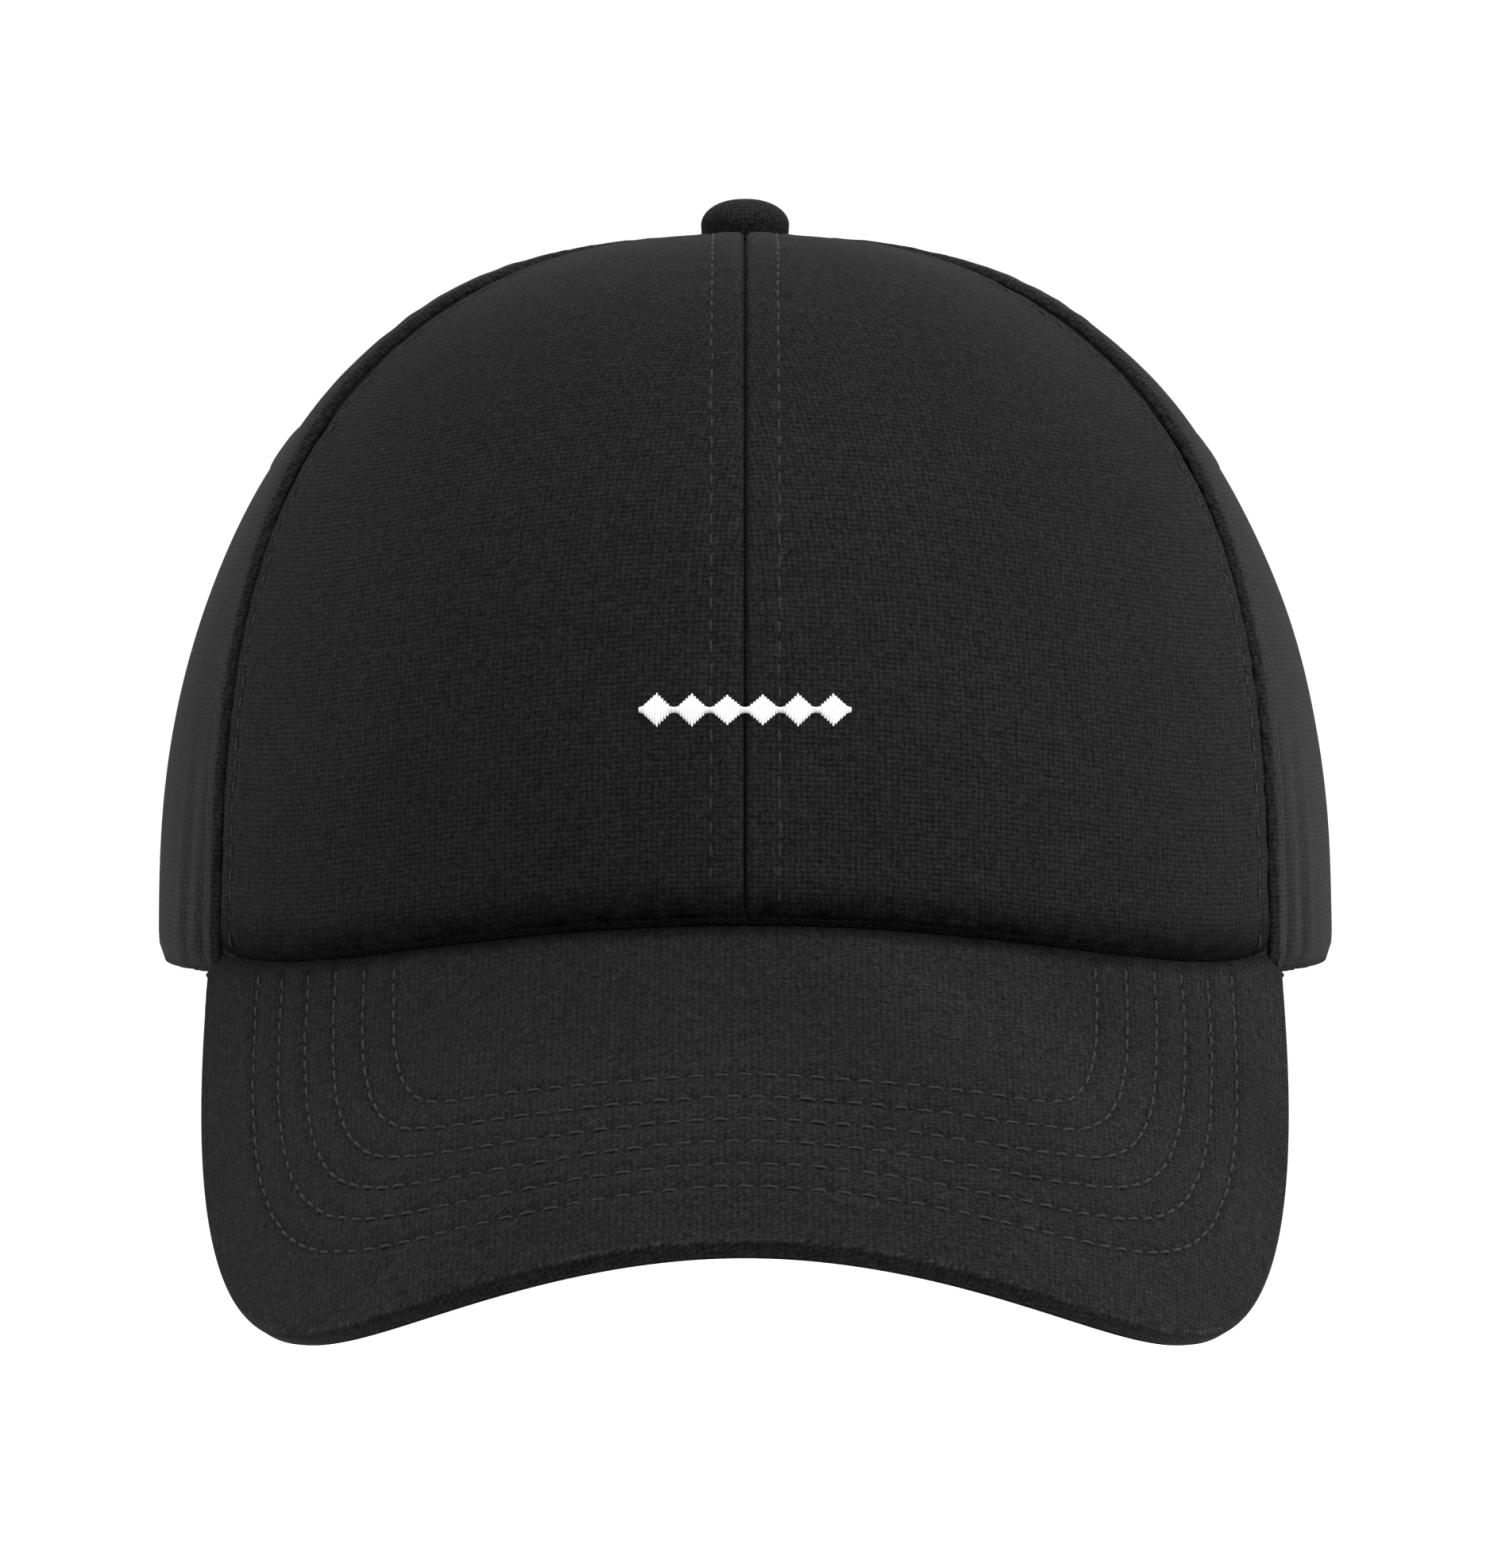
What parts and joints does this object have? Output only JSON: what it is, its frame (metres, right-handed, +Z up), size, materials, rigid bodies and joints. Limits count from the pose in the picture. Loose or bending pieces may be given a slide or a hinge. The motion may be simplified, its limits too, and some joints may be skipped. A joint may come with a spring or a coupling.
{
  "type": "baseball cap",
  "caption": "Structured baseball cap in dark cloth with a curved visor, stitched seams, a covered top button and a back strap with a cam-lever buckle.",
  "frame": {"origin": "centre of the head opening, in the plane of the side rim", "axes": "+Z up the crown, -Y forward over the visor, +X to the wearer's left"},
  "size_m": [0.1732, 0.258, 0.1547],
  "materials": {
    "crown_cloth": "plain-weave cotton, matt",
    "visor_cloth": "plain-weave cotton, matt",
    "buckram": "stiffened open weave",
    "eyelet_thread": "satin-stitched thread",
    "tape": "folded cotton tape",
    "sweatband_cloth": "brushed cotton twill",
    "visor_board": "moulded sheet",
    "label": "woven satin ribbon, blank",
    "motif_thread": "satin-stitched thread",
    "buckle_metal": "dark antique plating, brushed",
    "steel": "plated steel"
  },
  "bodies": {
    "cap": {"front_panel_left": "crown_cloth", "front_panel_right": "crown_cloth", "side_panel_left": "crown_cloth", "side_panel_right": "crown_cloth", "back_panel_left": "crown_cloth", "back_panel_right": "crown_cloth", "front_buckram_left": "buckram", "front_buckram_right": "buckram", "eyelet_side_left": "eyelet_thread", "eyelet_side_right": "eyelet_thread", "eyelet_back_left": "eyelet_thread", "eyelet_back_right": "eyelet_thread", "seam_tape_front_centre": "tape", "seam_tape_front_side_left": "tape", "seam_tape_front_side_right": "tape", "seam_tape_back_side_left": "tape", "seam_tape_back_side_right": "tape", "seam_tape_back_centre": "tape", "top_button": "crown_cloth", "button_washer": "steel", "button_rivet": "steel", "visor_board": "visor_board", "visor_cover_top": "visor_cloth", "visor_cover_under": "visor_cloth", "sweatband": "sweatband_cloth", "care_label": "label", "back_opening_binding": "tape", "strap_short": "crown_cloth", "buckle_frame": "buckle_metal", "buckle_pin": "steel", "front_motif": "motif_thread"},
    "long_strap": {"strap_long": "crown_cloth"},
    "lever": {"buckle_lever": "buckle_metal"}
  },
  "joints": [
    {"name": "buckle_lever_hinge", "type": "hinge", "parent": "cap", "child": "lever", "pos_m": [0.01565, 0.09779, 0.012], "axis": [-0.0118, -0.0536, 0.9985], "range_deg": [0, 105]},
    {"name": "strap_adjust", "type": "hinge", "parent": "cap", "child": "long_strap", "pos_m": [0, 0.02675, 0.012], "axis": [0, 0, -1], "range_deg": [-3, 8]}
  ]
}
